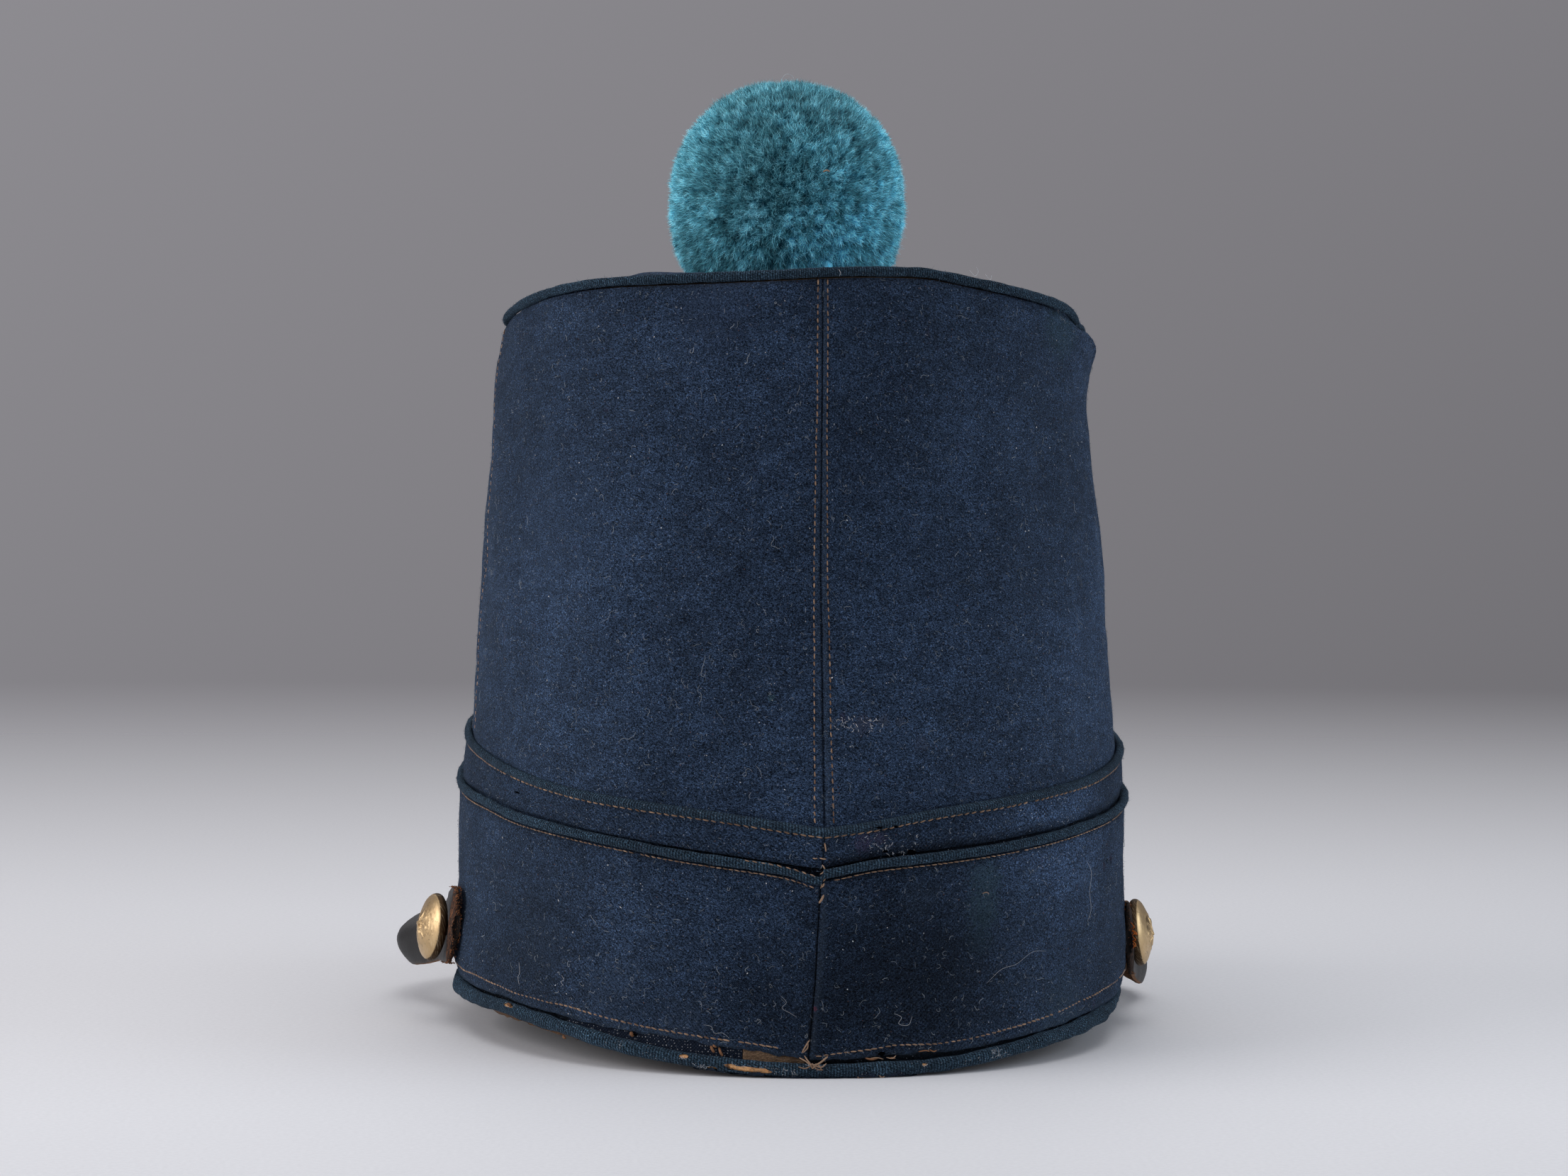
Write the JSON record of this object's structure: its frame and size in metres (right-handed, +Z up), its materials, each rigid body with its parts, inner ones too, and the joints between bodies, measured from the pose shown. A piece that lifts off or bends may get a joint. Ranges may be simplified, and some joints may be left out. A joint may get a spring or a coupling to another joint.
{
  "type": "shako hat",
  "caption": "Tall oval military cap of dark blue cloth with a sloping top, two bands, piped rim, leather peak, chin strap on brass side buttons and a round wool pompom.",
  "frame": {"origin": "on the surface the cap stands on, under the centre of its bounding box", "axes": "+Z up from the surface, -Y towards the peak, +X towards the wearer's left"},
  "size_m": [0.1924, 0.2674, 0.2386],
  "materials": {
    "cloth": "dark blue milled wool cloth with a short nap",
    "welt_cloth": "worn blue wool cloth over cord",
    "brown_leather": "dry raw brown leather",
    "black_leather": "worn black patent leather",
    "brass": "aged brass with rubbed relief",
    "wool_pile": "dense cut wool pile",
    "wire": "dull iron wire"
  },
  "bodies": {
    "root": {"crown": "cloth", "crown_top": "cloth", "top_welt": "welt_cloth", "upper_band": "cloth", "band_welt": "welt_cloth", "lower_band": "cloth", "rim_piping": "welt_cloth", "sweatband": "brown_leather", "peak": "black_leather", "chin_strap": "black_leather", "button_left": "brass", "button_right": "brass", "pompom": "wool_pile", "pompom_stem": "wire"}
  },
  "joints": []
}
